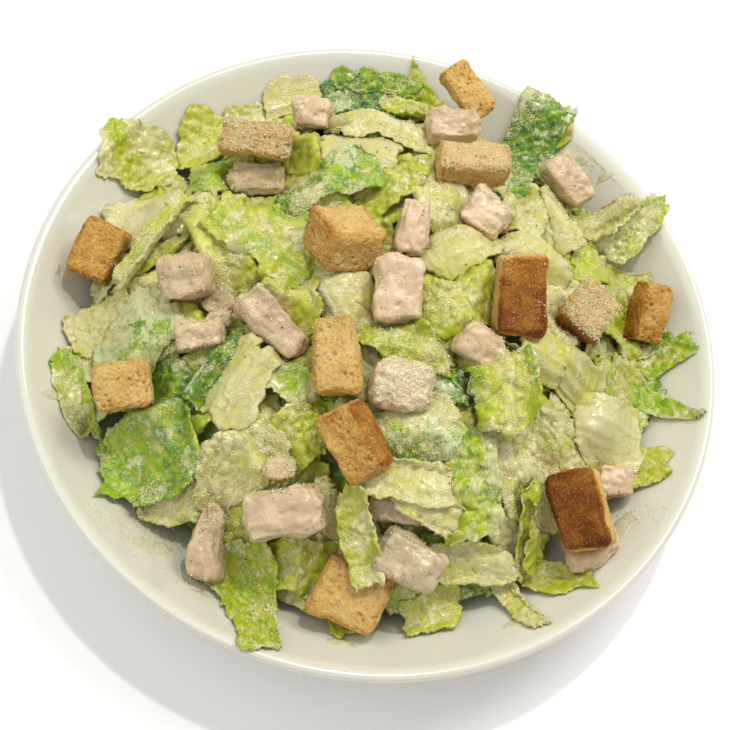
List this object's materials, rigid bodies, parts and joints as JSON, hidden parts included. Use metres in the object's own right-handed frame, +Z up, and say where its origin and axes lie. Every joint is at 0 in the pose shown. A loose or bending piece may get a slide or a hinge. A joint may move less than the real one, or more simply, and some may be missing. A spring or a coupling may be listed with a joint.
{
  "type": "chicken caesar salad in a bowl",
  "caption": "Heaped chicken caesar salad of dressed romaine leaves, diced chicken and croutons under grated cheese, in a wide shallow white bowl.",
  "frame": {"origin": "centre of the underside of the bowl's foot ring", "axes": "+Z up out of the bowl, -Y towards the front edge nearest the eater, +X to the right"},
  "size_m": [0.24, 0.24, 0.0852],
  "materials": {
    "bowl": "smooth white glaze, a little warm",
    "lettuce": "moist leaf coated with dressing; leather stands in for a soft organic solid",
    "crouton": "dry toasted bread; cardboard stands in for bread",
    "chicken": "moist cooked chicken; leather stands in for meat"
  },
  "bodies": {
    "root": {"bowl": "bowl", "lettuce_heap": "lettuce", "crouton_01": "crouton", "crouton_02": "crouton", "crouton_03": "crouton", "crouton_04": "crouton", "crouton_05": "crouton", "crouton_06": "crouton", "crouton_07": "crouton", "crouton_08": "crouton", "crouton_09": "crouton", "crouton_10": "crouton", "crouton_11": "crouton", "crouton_12": "crouton", "crouton_13": "crouton", "chicken_01": "chicken", "chicken_02": "chicken", "chicken_03": "chicken", "chicken_04": "chicken", "chicken_05": "chicken", "chicken_06": "chicken", "chicken_07": "chicken", "chicken_08": "chicken", "chicken_09": "chicken", "chicken_10": "chicken", "chicken_11": "chicken", "chicken_12": "chicken", "chicken_13": "chicken", "chicken_14": "chicken", "chicken_15": "chicken", "chicken_16": "chicken", "chicken_17": "chicken", "chicken_18": "chicken", "chicken_19": "chicken", "chicken_20": "chicken", "chicken_21": "chicken", "chicken_22": "chicken"}
  },
  "joints": []
}
